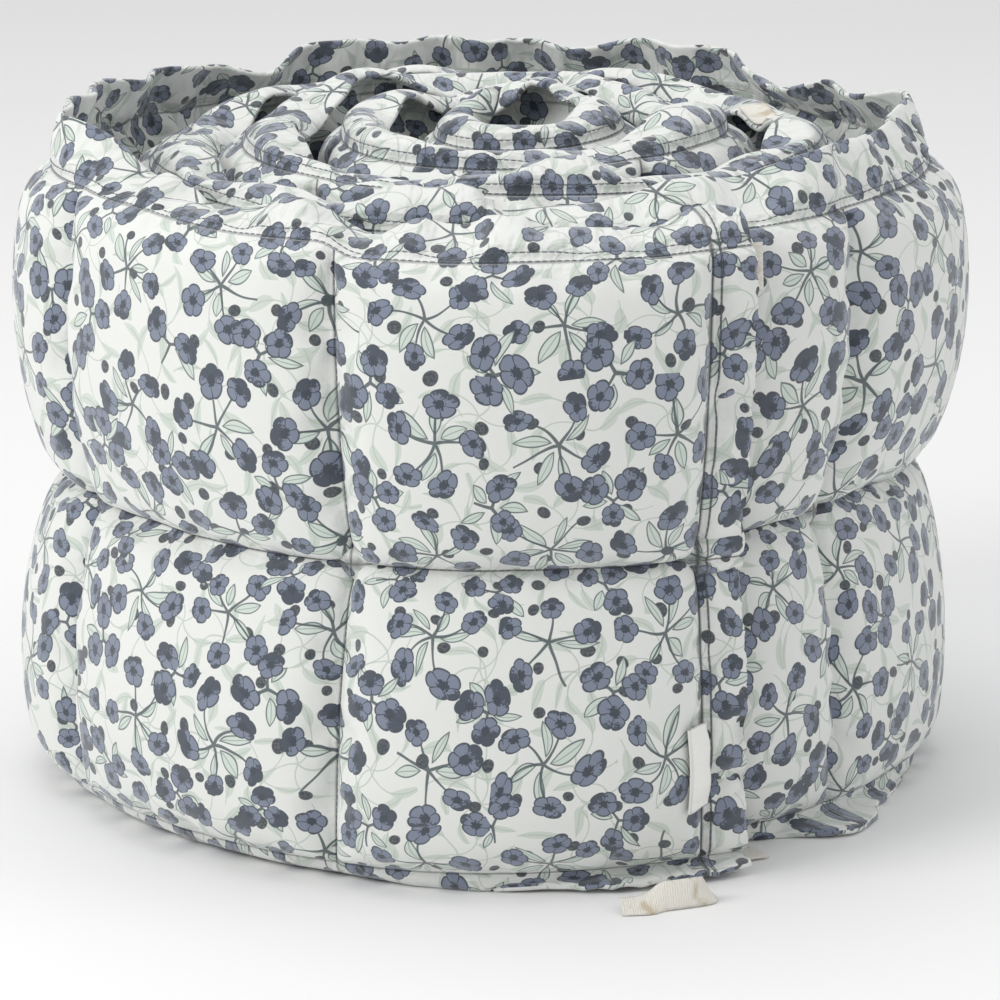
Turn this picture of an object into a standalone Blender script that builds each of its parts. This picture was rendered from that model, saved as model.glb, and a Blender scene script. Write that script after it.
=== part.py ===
"""Crib bumper, rolled up and standing on its long edge.

A long quilted pad: two rows of puffed cells between sewn lines, with a flat hem of bare cloth
all round.  It is wound into a loose drum whose outer end lies at the front right, and it stands
on its lower hem.  Cotton tape ties are sewn to its corners and a folded label to its end seam.

Z is up and the front of the roll faces -Y.  The origin is on the surface that the roll stands on,
in the middle of the outer box.  Metres.
"""
import math

import bmesh
import bpy
import numpy as np

# The winding, measured on the middle of the pad's thickness
OUTER_RADIUS = 0.203  # where the outer end seam crosses a row's seam
TURN_PITCH = 0.041  # from one turn to the next
END_BEARING = math.radians(21.7)  # the outer end seam, from the front towards +X
ROLL_AXIS = (0.0103, 0.0149)  # where the winding's axis stands

# The cells, from the outer end inwards
CELL_RUNS = (  # cells in the run, length of each along the pad, steps in each
    (2, 0.1475, 8),
    (5, 0.1540, 6),
    (13, 0.1570, 5),
)
PAD_PIECES = (  # cut at two seams, so that each solid keeps to about one turn: name, cells from, to
    ("quilted_pad_outer", 0, 8),
    ("quilted_pad_second", 8, 14),
    ("quilted_pad_core", 14, 20),
)
END_HEM = 0.020  # bare cloth past each end seam
SEAM_HEIGHTS = (0.0085, 0.1385, 0.2695)  # bottom, middle and top seams above the floor
CLOTH = 0.003  # both faces together, at a seam or a hem
PUFF_OUT = 0.014  # how far a cell swells outwards from its seams
PUFF_IN = 0.0215  # and inwards, where the winding crowds it
PUFF_POWER = 0.55  # 0.5 is a round section, 1 a parabola
SEAM_FLOAT = 0.003  # how far a seam bows outwards between two crossings
ROW_LEAN = (0.13, -0.05)  # share of its swelling that each row drops, lower row first
ROW_STEPS = 5

# The roll as it has slumped
OVAL = 0.0285  # broader from side to side, shallower from front to back
CORE_SHIFT = (-0.008, 0.018)  # how far the core has slid
CORE_REACH = 0.21  # radius at which that slide fades out
UNEVEN = (  # direction of the push, its size, wave length and phase
    (0, 0.0025, 0.170, 1.0),
    (1, 0.0025, 0.190, 0.4),
)
CORE_RISE = 0.028  # each turn inwards stands taller by this share
RISE_FROM = 0.85  # turns in from the outer end at which that begins
RISE_TURNS = 1.5  # and over how many turns it goes on
FRONT_DROP = 0.018  # and the front lies lower than the back by this one
END_TUCK = (0.008, 0.090)  # how far the outer end draws in, and over what length
WAIST = (  # degrees turned, how far the middle seam lies in, share of its swelling the lower row lacks
    (-10, 0.003, 0.0), (15, 0.005, 0.0), (60, 0.006, 0.0), (112, 0.009, 0.05), (160, 0.006, 0.05),
    (200, 0.005, 0.10), (250, 0.007, 0.40), (290, 0.010, 0.55), (330, 0.009, 0.45), (352, 0.004, 0.20),
    (372, 0.0, 0.0),
)
WAIST_POWER = 3  # how fast the waist fades towards the seams above and below

# The bare hem along the top: how far it leans in, by degrees turned from the outer end
TOP_HEM = 0.025
TOP_HEM_LEAN = (  # degrees turned, degrees of lean
    (-10, 46), (0, 58), (14, 66), (34, 70), (43, 86), (50, 72), (68, 86), (80, 78), (96, 20), (110, 20),
    (126, 24), (139, 38), (153, 32), (163, 36), (172, 56), (181, 26), (190, 26), (202, 36), (210, 42),
    (217, 34), (225, 24), (232, 38), (242, 56), (249, 38), (257, 52), (264, 44), (281, 20), (296, 40),
    (316, 34), (332, 26), (350, 56), (372, 62),
)
INNER_LEAN = 60  # mean lean further in, in degrees, with two swings about it
INNER_SWINGS = ((16, 2.3, 1.0), (12, 5.1, 2.0))  # degrees, waves in a turn, phase
LEAN_BLEND = 0.05  # turns past the first over which the table gives way to the swings
HEM_CURL = (0.7, 1.3)  # share of the lean on the hem's lower and upper half
CORE_UPRIGHT = 0.06  # radius under which the hem stands up again for want of room

# The bare hem under the roll: how far it lies outwards (inwards if negative)
FLOOR_HEM_REACH = (  # degrees turned, reach, lift of its edge from the floor
    (-10, 0.004, 0.0016), (0, 0.007, 0.0016), (8, 0.010, 0.0016), (18, 0.004, 0.0008), (32, -0.009, 0.0),
    (44, -0.015, 0.0), (284, -0.015, 0.0), (295, -0.004, 0.0), (305, 0.005, 0.0), (314, 0.007, 0.0),
    (320, 0.011, 0.0), (327, 0.018, 0.0), (334, 0.021, 0.0), (344, 0.005, 0.0), (354, -0.006, 0.0),
    (366, -0.015, 0.0),
)
HEM_FLAT_REACH = 0.012  # from this reach on the hem's edge lies flat
HEM_BEND = 0.45  # how far along its reach, and up to its seam, the hem bends

# Tape ties: x and y in the winding's own axes, height, heading and lean of the tape's width in degrees
TAPE_WIDTH = 0.012
TAPE = 0.0010
TAPE_STEPS = 5  # between two rows of a route
TIE_ROUTES = {
    "tie_bottom_front": (
        (0.0575, -0.1895, 0.0007, 40, 0),
        (0.0630, -0.1955, 0.0007, 40, 0),
        (0.0695, -0.2028, 0.0019, 42, -10),
        (0.0744, -0.2115, 0.0050, -10, -50),
        (0.0681, -0.2198, 0.0044, -62, -38),
        (0.0564, -0.2249, 0.0032, -78, -25),
        (0.0420, -0.2270, 0.0023, -82, -16),
    ),
    "tie_bottom_back": (
        (0.0341, -0.1925, 0.0066, 112, 84),
        (0.0590, -0.1815, 0.0064, 115, 72),
        (0.0757, -0.1699, 0.0040, 127, 30),
        (0.0876, -0.1607, 0.0021, 130, 8),
        (0.0975, -0.1540, 0.0016, 126, 6),
    ),
    "tie_top_outer": (
        (0.0897, -0.1667, 0.2650, 28, 0),
        (0.0900, -0.1660, 0.2560, 29, 4),
        (0.0906, -0.1650, 0.2440, 32, 8),
    ),
}
INNER_TIE_TURNS = (1.745, 1.795)  # the last tie's end lies on the top hem between these turns

# Folded side label, sewn into the outer end seam
LABEL_REACH = 0.0095  # out of the seam, along the pad
LABEL_HEIGHTS = (0.032, 0.069)
LABEL = 0.0010
LABEL_START = 0.0008  # clear of the seam's stitches
LABEL_STATIONS = 5
GAP = 0.0003  # between pieces that touch
SMOOTH_UNDER = math.radians(50)  # edges bent more than this are shaded sharp


def cell_edges():
    """Arc lengths of the seams across the pad, and the steps in each cell, outer end first."""
    edges = [0.0]
    steps = []
    for count, length, step_count in CELL_RUNS:
        for _ in range(count):
            edges.append(edges[-1] + length)
            steps.append(step_count)
    return edges, steps


def stations(first, last):
    """Arc length of each cross-section of a run of cells, and its place in its cell from -1 to 1
    (1 at a hem)."""
    edges, steps = cell_edges()
    arcs = []
    places = []
    for cell in range(first, last):
        start, end = edges[cell:cell + 2]
        for step in range(steps[cell]):
            place = -math.cos(math.pi * step / steps[cell])
            arcs.append(start + (end - start) * (place + 1) / 2)
            places.append(place)
    arcs.append(edges[last])
    places.append(1.0)
    if first == 0:
        arcs.insert(0, -END_HEM)
        places.insert(0, 1.0)
    else:
        arcs[0] += GAP / 2
    if last == len(steps):
        arcs.append(edges[last] + END_HEM)
        places.append(1.0)
    else:
        arcs[-1] -= GAP / 2
    return np.array(arcs), np.array(places)


def turns_at(arc):
    """Turns made from the outer end: on an even spiral the radius squared falls with the length."""
    radius = np.sqrt(OUTER_RADIUS ** 2 - TURN_PITCH * arc / math.pi)
    return (OUTER_RADIUS - radius) / TURN_PITCH


def settle(x, y):
    """The slump: an oval, a slide that grows towards the core, and two long waves."""
    core = np.clip(1 - (x ** 2 + y ** 2) / CORE_REACH ** 2, 0, None) ** 2
    moved = [x * (1 + OVAL) + CORE_SHIFT[0] * core, y * (1 - OVAL) + CORE_SHIFT[1] * core]
    for way, size, wave, phase in UNEVEN:
        along = (y, x)[way]
        moved[way] = moved[way] + size * np.sin(2 * math.pi * along / wave + phase)
    return moved[0] + ROLL_AXIS[0], moved[1] + ROLL_AXIS[1]


def place(arc, out, height):
    """A point of the pad: arc length along it, distance outwards from its middle, and height."""
    turns = turns_at(arc)
    tuck = END_TUCK[0] * np.clip(1 - arc / END_TUCK[1], 0, None) ** 2
    radius = OUTER_RADIUS - TURN_PITCH * turns + out - tuck
    bearing = END_BEARING - 2 * math.pi * turns
    risen = CORE_RISE * np.clip(turns - RISE_FROM, 0, RISE_TURNS)
    rise = 1 + risen - FRONT_DROP * (1 + np.cos(bearing)) / 2
    x, y = settle(radius * np.sin(bearing), -radius * np.cos(bearing))
    return np.stack(np.broadcast_arrays(x, y, height * rise), axis=-1)


def read_table(rows, column, degrees):
    """A column of a table of folds, eased between its rows."""
    table = np.array(rows, dtype=float)
    at = np.clip(degrees, table[0, 0], table[-1, 0])
    row = np.clip(np.searchsorted(table[:, 0], at, side="right") - 1, 0, len(table) - 2)
    share = (at - table[row, 0]) / (table[row + 1, 0] - table[row, 0])
    ease = share * share * (3 - 2 * share)
    return table[row, column] * (1 - ease) + table[row + 1, column] * ease


def top_lean(turns):
    """Lean of the top hem in radians: the table on the outer turn, two swings further in."""
    inner = INNER_LEAN
    for size, waves, phase in INNER_SWINGS:
        inner = inner + size * np.sin(2 * math.pi * waves * turns + phase)
    outer = read_table(TOP_HEM_LEAN, 1, 360 * turns)
    inner = inner * np.clip((OUTER_RADIUS - TURN_PITCH * turns) / CORE_UPRIGHT, 0, 1)
    blend = np.clip((turns - 1) / LEAN_BLEND, 0, 1)
    return np.radians(outer * (1 - blend) + inner * blend)


def swelling(place_in_cell, across):
    """How full a cell is, 1 at its middle and 0 on its seams."""
    along = np.clip(1 - place_in_cell ** 2, 0, None) ** PUFF_POWER
    return along * np.clip(1 - across ** 2, 0, None) ** PUFF_POWER


def top_hem(turns, share):
    """The top hem's middle at half or all of its width: out, height and the lean of its outer face."""
    lean = top_lean(turns)
    out = -TOP_HEM / 2 * np.sin(HEM_CURL[0] * lean)
    height = SEAM_HEIGHTS[-1] + TOP_HEM / 2 * np.cos(HEM_CURL[0] * lean)
    if share <= 0.5:
        return out, height, HEM_CURL[0] * lean
    out = out - TOP_HEM / 2 * np.sin(HEM_CURL[1] * lean)
    height = height + TOP_HEM / 2 * np.cos(HEM_CURL[1] * lean)
    return out, height, HEM_CURL[1] * lean


def pad_profile(arc, place_in_cell):
    """Middle line of every section with its two half thicknesses and its facing, bottom hem first.

    Each row of the result holds out, height, thickness outwards, thickness inwards, facing out and
    facing up, for all the sections.
    """
    turns = turns_at(arc)
    half = np.full_like(arc, CLOTH / 2)
    flat = np.zeros_like(arc)
    one = np.ones_like(arc)
    reach = read_table(FLOOR_HEM_REACH, 1, 360 * turns)
    lift = read_table(FLOOR_HEM_REACH, 2, 360 * turns)
    curl = math.pi / 2 * np.clip(reach / HEM_FLAT_REACH, -1, 1)
    level = np.abs(np.sin(curl))
    edge = half * level + lift
    bend = edge + (1 - level) * HEM_BEND * SEAM_HEIGHTS[0]
    rows = [
        (reach, edge, half, half, np.cos(curl), np.sin(curl)),
        (HEM_BEND * reach, bend, half, half, np.cos(curl), np.sin(curl)),
    ]
    bow = SEAM_FLOAT * (1 - place_in_cell ** 2)
    rows.append((bow, SEAM_HEIGHTS[0] * one, half, half, one, flat))
    waist = read_table(WAIST, 1, 360 * turns)
    lacking = (read_table(WAIST, 2, 360 * turns), 0)
    for row, lean in enumerate(ROW_LEAN):
        low, high = SEAM_HEIGHTS[row:row + 2]
        for step in range(1, ROW_STEPS + 1):
            across = -math.cos(math.pi * step / ROW_STEPS)
            height = low + (high - low) * (across + 1) / 2
            from_middle = abs(height - SEAM_HEIGHTS[1]) / (high - low)
            full = swelling(place_in_cell, across) * (1 - lean * across)
            middle = SEAM_FLOAT * (1 - (place_in_cell * across) ** 2)
            middle = middle - waist * (1 - from_middle) ** WAIST_POWER
            outwards = half + PUFF_OUT * full * (1 - lacking[row])
            rows.append((middle, height * one, outwards, half + PUFF_IN * full, one, flat))
    for share in (0.5, 1.0):
        out, height, facing = top_hem(turns, share)
        rows.append((bow + out, height, half, half, np.cos(facing), np.sin(facing)))
    return rows


def loft(name, rings, colour, roughness):
    """A closed solid through rings of points; each ring runs up one face and down the other."""
    ring_count, point_count, _ = rings.shape
    bm = bmesh.new()
    verts = [[bm.verts.new(point) for point in ring] for ring in rings.tolist()]
    for ring in range(ring_count - 1):
        for point in range(point_count):
            beyond = (point + 1) % point_count
            bm.faces.new((verts[ring][point], verts[ring][beyond],
                          verts[ring + 1][beyond], verts[ring + 1][point]))
    for ring in (verts[0], verts[-1]):
        for point in range(point_count // 2 - 1):
            bm.faces.new((ring[point], ring[point + 1], ring[-point - 2], ring[-point - 1]))
    bmesh.ops.recalc_face_normals(bm, faces=bm.faces)
    mesh = bpy.data.meshes.new(name)
    bm.to_mesh(mesh)
    bm.free()
    mesh.shade_smooth()
    mesh.set_sharp_from_angle(angle=SMOOTH_UNDER)
    piece = bpy.data.objects.new(name, mesh)
    piece.data.materials.append(material(name, colour, roughness))
    return piece


def material(name, colour, roughness):
    finish = bpy.data.materials.new(name)
    finish.use_nodes = True
    shader = finish.node_tree.nodes["Principled BSDF"]
    shader.inputs["Base Color"].default_value = (*colour, 1)
    shader.inputs["Roughness"].default_value = roughness
    shader.inputs["Metallic"].default_value = 0
    return finish


def quilted_pad(name, first, last):
    """A run of the pad's cells, one solid wound along the spiral."""
    arc, place_in_cell = stations(first, last)
    up_outside = []
    up_inside = []
    for out, height, thick_out, thick_in, face_out, face_up in pad_profile(arc, place_in_cell):
        up_outside.append(place(arc, out + thick_out * face_out, height + thick_out * face_up))
        up_inside.append(place(arc, out - thick_in * face_out, height - thick_in * face_up))
    rings = np.stack(up_outside + up_inside[::-1], axis=1)
    return loft(name, rings, (0.72, 0.74, 0.77), 0.85)


def smooth_route(rows):
    """Points on a Catmull-Rom curve through a table's rows, with as many steps in each span."""
    table = np.array(rows, dtype=float)
    padded = np.vstack([2 * table[0] - table[1], table, 2 * table[-1] - table[-2]])
    points = []
    for span in range(len(table) - 1):
        before, start, end, after = padded[span:span + 4]
        for step in range(TAPE_STEPS):
            t = step / TAPE_STEPS
            points.append(0.5 * (2 * start + (end - before) * t
                                 + (2 * before - 5 * start + 4 * end - after) * t ** 2
                                 + (3 * start - before - 3 * end + after) * t ** 3))
    points.append(table[-1])
    return np.array(points)


def tape(name, middle, width):
    """A flat tape along its middle line, with the direction of its width at each point."""
    ahead = np.gradient(middle, axis=0)
    width = width / np.linalg.norm(width, axis=1)[:, None]
    facing = np.cross(ahead, width)
    facing /= np.linalg.norm(facing, axis=1)[:, None]
    corners = []
    for across, through in ((-1, -1), (1, -1), (1, 1), (-1, 1)):
        corners.append(middle + width * across * TAPE_WIDTH / 2 + facing * through * TAPE / 2)
    return loft(name, np.stack(corners, axis=1), (0.86, 0.83, 0.74), 0.9)


def loose_tie(name, rows):
    """A tie along its own route."""
    x, y, z, heading, lean = smooth_route(rows).T
    x, y = settle(x, y)
    heading, lean = np.radians(heading), np.radians(lean)
    width = np.stack([np.cos(heading) * np.cos(lean), np.sin(heading) * np.cos(lean), np.sin(lean)], axis=1)
    return tape(name, np.stack([x, y, z], axis=1), width)


def tie_on_the_roll():
    """The inner end's tie: its free end lies on the upper half of the top hem."""
    turns = np.linspace(*INNER_TIE_TURNS, 2 * TAPE_STEPS)
    radius = OUTER_RADIUS - TURN_PITCH * turns
    arc = (OUTER_RADIUS ** 2 - radius ** 2) * math.pi / TURN_PITCH
    low_out, low_height, _ = top_hem(turns, 0.5)
    out, height, lean = top_hem(turns, 1.0)
    clear = CLOTH / 2 + TAPE / 2 + 6 * GAP
    over = clear * np.cos(lean) + SEAM_FLOAT
    up = clear * np.sin(lean)
    low = place(arc, low_out + over, low_height + up)
    high = place(arc, out + over, height + up)
    return tape("tie_top_inner", (low + high) / 2, high - low)


def side_label():
    """The folded label: a small rectangle that lies on the swell of the last cell."""
    arc = np.linspace(LABEL_START, LABEL_REACH, LABEL_STATIONS)
    edges, _ = cell_edges()
    place_in_cell = 2 * arc / edges[1] - 1
    low, high = LABEL_HEIGHTS
    row_low, row_high = SEAM_HEIGHTS[:2]
    corners = []
    for height, outer in ((low, 0), (high, 0), (high, 1), (low, 1)):
        across = (low + high - row_low - row_high) / (row_high - row_low)
        skin = (SEAM_FLOAT + CLOTH / 2
                + PUFF_OUT * swelling(place_in_cell, across) * (1 - ROW_LEAN[0] * across))
        corners.append(place(arc, skin + GAP + outer * LABEL, height))
    return loft("side_label", np.stack(corners, axis=1), (0.88, 0.87, 0.82), 0.85)


def main():
    for old in list(bpy.data.objects):
        bpy.data.objects.remove(old, do_unlink=True)
    pieces = [quilted_pad(*row) for row in PAD_PIECES]
    pieces += [side_label(), tie_on_the_roll()]
    pieces += [loose_tie(name, rows) for name, rows in TIE_ROUTES.items()]
    collection = bpy.data.collections.new("crib_bumper")
    bpy.context.scene.collection.children.link(collection)
    for piece in pieces:
        collection.objects.link(piece)


main()
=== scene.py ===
"""Crib bumper, rolled up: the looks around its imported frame.

The pad is two faces of printed cotton, puffed between their sewn lines and wound into a loose
drum.  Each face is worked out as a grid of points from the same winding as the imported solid, then
eased as cloth, so that it puckers along its seams and its bare hems ruffle.  Tapes, label and
stitches are laid on it as pieces of their own.

Metres; Z is up and the front of the roll faces -Y.
"""
import math

import bpy
import numpy as np
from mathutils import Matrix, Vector


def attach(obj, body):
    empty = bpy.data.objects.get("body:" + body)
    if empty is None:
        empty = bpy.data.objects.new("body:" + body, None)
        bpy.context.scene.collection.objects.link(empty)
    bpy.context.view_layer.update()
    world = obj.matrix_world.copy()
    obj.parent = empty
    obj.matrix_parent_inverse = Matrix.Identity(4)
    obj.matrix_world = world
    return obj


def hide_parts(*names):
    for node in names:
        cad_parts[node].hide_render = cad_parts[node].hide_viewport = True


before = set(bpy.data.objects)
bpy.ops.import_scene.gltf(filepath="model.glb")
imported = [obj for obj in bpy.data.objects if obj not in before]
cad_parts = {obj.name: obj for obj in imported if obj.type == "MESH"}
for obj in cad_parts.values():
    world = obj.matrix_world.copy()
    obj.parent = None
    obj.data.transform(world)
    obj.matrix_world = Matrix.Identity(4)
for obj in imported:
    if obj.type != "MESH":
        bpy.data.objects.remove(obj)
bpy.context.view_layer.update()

# The winding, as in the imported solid, with finer detail at the seams
OUTER_RADIUS = 0.203  # where the outer end seam crosses a row's seam
TURN_PITCH = 0.041
END_BEARING = math.radians(21.7)  # the outer end seam, from the front towards +X
ROLL_AXIS = (0.0103, 0.0149)
CELL_LENGTHS = (0.1475,) * 2 + (0.1540,) * 5 + (0.1570,) * 13  # as wound, outer end first
END_HEM = 0.020
SEAM_HEIGHTS = (0.0085, 0.1385, 0.2695)
CLOTH = 0.003  # both faces together, at a seam
PUFF_OUT = 0.014
PUFF_IN = 0.0215
PUFF_POWERS = (0.46, 0.53)  # along and up: the smaller, the narrower the groove at a seam
SEAM_FLOAT = 0.003
TUFT = (0.0065, 0.009)  # how far a crossing is drawn in, and over what distance
TOP_SEAM_RISE = (  # arc length, how much higher the top seam lies there
    (-0.020, 0.0), (0.138, -0.0004), (0.156, 0.0050), (0.200, 0.0042), (0.260, 0.0060), (0.330, 0.0058),
    (0.430, 0.0020), (0.520, 0.0),
)
SEAM_WANDER = ((0.061, 0.0017, 40), (0.025, 0.0008, 40))  # a long seam's waves: length, size and seed
WANDER_FROM = 0.3  # added to the arc length
WANDER_SHARE = (0.4, 0.6)  # share of it at the top seam, and what is added at the middle one
CROSS_SLANT = (  # boundary between cells, how far it lies further along at the top, middle and bottom
    (0, -0.0030, 0.0020, 0.0), (1, 0.0030, -0.0020, 0.0040), (2, 0.0, 0.0, 0.0), (3, 0.0020, 0.0, -0.0010),
    (5, -0.0030, 0.0010, 0.0020), (6, 0.0, 0.0, 0.0), (7, -0.0090, 0.0, -0.0005), (8, 0.0, 0.0, 0.0),
)
END_RIDGE = (0.0014, 0.0018, 0.0011)  # height, place and half width of the ridge beside the end seam
ROW_LEAN = (0.13, -0.05)
OVAL = 0.0285
CORE_SHIFT = (-0.008, 0.018)
CORE_REACH = 0.21
UNEVEN = ((0, 0.0025, 0.170, 1.0), (1, 0.0025, 0.190, 0.4))  # way, size, wave length, phase
CORE_RISE = 0.028
RISE_FROM = 0.85  # turns in from the outer end
RISE_TURNS = 1.5
FRONT_DROP = 0.018
END_TUCK = (0.008, 0.090)
WAIST = (  # degrees turned, how far the middle seam lies in, share of its swelling the lower row lacks
    (-10, 0.003, 0.0), (15, 0.005, 0.0), (60, 0.006, 0.0), (112, 0.009, 0.05), (160, 0.006, 0.05),
    (200, 0.005, 0.10), (250, 0.007, 0.40), (290, 0.010, 0.55), (330, 0.009, 0.45), (352, 0.004, 0.20),
    (372, 0.0, 0.0),
)
WAIST_POWER = 3

# The bare hems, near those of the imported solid: other dips in the rim, more curl, inner hems that
# lean further in, and a slightly wider splay
TOP_HEM = 0.025
TOP_HEM_LEAN = (  # degrees turned, degrees of lean
    (-10, 46), (0, 58), (14, 66), (34, 70), (43, 86), (50, 72), (68, 86), (80, 78), (96, 20), (110, 20),
    (126, 24), (139, 38), (153, 36), (162, 50), (170, 28), (177, 24), (190, 26), (202, 36), (210, 42),
    (217, 34), (225, 26), (237, 32), (243, 44), (250, 54), (257, 52), (264, 44), (281, 20), (296, 40),
    (316, 34), (332, 26), (350, 56), (372, 62),
)
INNER_LEAN = 80  # degrees, with two swings about it
INNER_SWINGS = ((9, 2.3, 1.0), (7, 5.1, 2.0))  # degrees, waves in a turn, phase
LEAN_BLEND = 0.05
HEM_CURL = (0.4, 1.6)  # share of the lean at the seam and at the free edge
CORE_UPRIGHT = 0.028  # radius within which the hem stands up more, for want of room
RUFFLES = ((0.021, 4, 3), (0.047, 9, 4), (0.095, 8, 2))  # waves of the lean: length, degrees, seed
CRUMPLES = ((0.016, 14, 5), (0.037, 15, 6), (0.080, 9, 7))  # more of them on the inner hems
CRUMPLE_LEAN = 9
FLOOR_HEM_REACH = (  # degrees turned, reach, lift of its edge from the floor
    (-10, 0.008, 0.0016), (0, 0.012, 0.0018), (9, 0.013, 0.0018), (19, 0.006, 0.0008), (32, -0.006, 0.0),
    (44, -0.015, 0.0), (284, -0.015, 0.0), (295, -0.004, 0.0), (305, 0.005, 0.0), (314, 0.007, 0.0),
    (320, 0.011, 0.0), (327, 0.018, 0.0), (334, 0.021, 0.0), (344, 0.005, 0.0), (354, -0.006, 0.0),
    (366, -0.015, 0.0),
)
HEM_FLAT_REACH = 0.012
FLOOR_HEM_WAVES = (0.026, 0.0022, 8)  # of its reach: length, size and seed
FLOOR_HEM_LIFTS = (0.011, 0.0034, 9)  # of its lift where it is loose
LOOSE_HEM = (2, 24)  # degrees turned where it is loosest, and how far that fades each way
SLACK_HEM = (290, 350, 0.4)  # degrees from and to, and how loose it is there
END_HEM_WAVES = (0.040, 0.0022, 41)
HEM_THICK = 0.0024  # a hem's two faces and turned edges, at its free edge

# The cloth as it was cut
FLAT_CELL = (0.165, 0.140)  # length and height of a cell before it was filled
FLOOR_HEM = 0.012  # what shows of the lower hem
FLAT_ROWS = (FLOOR_HEM, FLAT_CELL[1], FLAT_CELL[1], TOP_HEM)
EDGE_FLAT = 0.001  # what a hem's round edge counts in the cloth's coordinates
FACE_GAP = 0.004  # and what counts between the edges of the two faces

# Grids: steps along a cell, rows in the lower hem, the two cells and the top hem, and a seed
OUTER_GRID = (84, (6, 60, 60, 14), 11)
INNER_GRID = (56, (6, 20, 50, 14), 21)
END_STEPS = 8
ROW_SPACING = (0.7, 0.3)  # of a cell's rows: the share that is even, and that of a sine
PAD_PIECES = (  # name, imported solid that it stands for, first cell, one past its last cell
    ("pad_outer_front", "quilted_pad_outer", 0, 4),
    ("pad_outer_back", "quilted_pad_outer", 4, 8),
    ("pad_second_turn", "quilted_pad_second", 8, 14),
    ("pad_core", "quilted_pad_core", 14, 20),
)
OUTER_CELLS = 8

CELL_EDGES = np.concatenate([[0.0], np.cumsum(CELL_LENGTHS)])
GAP = 0.0003
DRIFT_VALUES = 512  # of a random line, which repeats after them
DRIFT_START = 16  # number of the value at place 0


def turns_at(arc):
    """Turns made from the outer end: on an even spiral the radius squared falls with the length."""
    radius = np.sqrt(OUTER_RADIUS ** 2 - TURN_PITCH * arc / math.pi)
    return (OUTER_RADIUS - radius) / TURN_PITCH


def eased(share):
    """A share from 0 to 1 that starts and ends level."""
    return share * share * (3 - 2 * share)


def unit(vectors):
    """Vectors scaled to a length of 1."""
    return vectors / np.linalg.norm(vectors, axis=-1, keepdims=True)


def settle(x, y):
    """The slump: an oval, a slide that grows towards the core, and two long waves."""
    core = np.clip(1 - (x ** 2 + y ** 2) / CORE_REACH ** 2, 0, None) ** 2
    moved = [x * (1 + OVAL) + CORE_SHIFT[0] * core, y * (1 - OVAL) + CORE_SHIFT[1] * core]
    for way, size, wave, phase in UNEVEN:
        along = (y, x)[way]
        moved[way] = moved[way] + size * np.sin(2 * math.pi * along / wave + phase)
    return moved[0] + ROLL_AXIS[0], moved[1] + ROLL_AXIS[1]


def place(arc, out, height):
    """A point of the pad from its arc length, its distance outwards and its height."""
    turns = turns_at(arc)
    tuck = END_TUCK[0] * np.clip(1 - arc / END_TUCK[1], 0, None) ** 2
    radius = OUTER_RADIUS - TURN_PITCH * turns + out - tuck
    bearing = END_BEARING - 2 * math.pi * turns
    risen = CORE_RISE * np.clip(turns - RISE_FROM, 0, RISE_TURNS)
    rise = 1 + risen - FRONT_DROP * (1 + np.cos(bearing)) / 2
    x, y = settle(radius * np.sin(bearing), -radius * np.cos(bearing))
    return np.stack(np.broadcast_arrays(x, y, height * rise), axis=-1)


def read_table(rows, column, degrees):
    """A column of a table of folds, eased between its rows."""
    table = np.array(rows, dtype=float)
    at = np.clip(degrees, table[0, 0], table[-1, 0])
    row = np.clip(np.searchsorted(table[:, 0], at, side="right") - 1, 0, len(table) - 2)
    share = (at - table[row, 0]) / (table[row + 1, 0] - table[row, 0])
    ease = eased(share)
    return table[row, column] * (1 - ease) + table[row + 1, column] * ease


def cell_at(arc):
    """Number of the cell at an arc length, with its fraction."""
    return np.interp(arc, CELL_EDGES, np.arange(len(CELL_EDGES)))


def lengths_to(line):
    """Length of a line of points from its first one to each of them."""
    return np.concatenate([[0], np.cumsum(np.linalg.norm(np.diff(line, axis=0), axis=1))])


def drift(at, wave, size, seed):
    """A smooth random line: seeded values a wave length apart, eased from each to the next."""
    values = np.random.default_rng(seed).uniform(-1, 1, DRIFT_VALUES)
    knot = np.asarray(at) / wave + DRIFT_START
    low = np.floor(knot).astype(int)
    ease = eased(knot - low)
    return size * (values[low % DRIFT_VALUES] * (1 - ease) + values[(low + 1) % DRIFT_VALUES] * ease)


def top_lean(turns, arc, share):
    """Lean of the top hem in radians at a share of its width: a table in the first turn and two
    swings about a middle lean further in, with a curl and ruffles that grow to the free edge."""
    inner = INNER_LEAN
    for size, waves, phase in INNER_SWINGS:
        inner = inner + size * np.sin(2 * math.pi * waves * turns + phase)
    outer = read_table(TOP_HEM_LEAN, 1, 360 * turns)
    inner = inner * np.clip((OUTER_RADIUS - TURN_PITCH * turns) / CORE_UPRIGHT, 0, 1)
    blend = np.clip((turns - 1) / LEAN_BLEND, 0, 1)
    ruffle = sum(drift(arc, *waves) for waves in RUFFLES)
    crumple = blend * sum((drift(arc, *waves) for waves in CRUMPLES), CRUMPLE_LEAN)
    lean = outer * (1 - blend) + inner * blend
    return np.radians(lean * (HEM_CURL[0] + (HEM_CURL[1] - HEM_CURL[0]) * share)
                      + (ruffle + crumple) * share)


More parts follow.
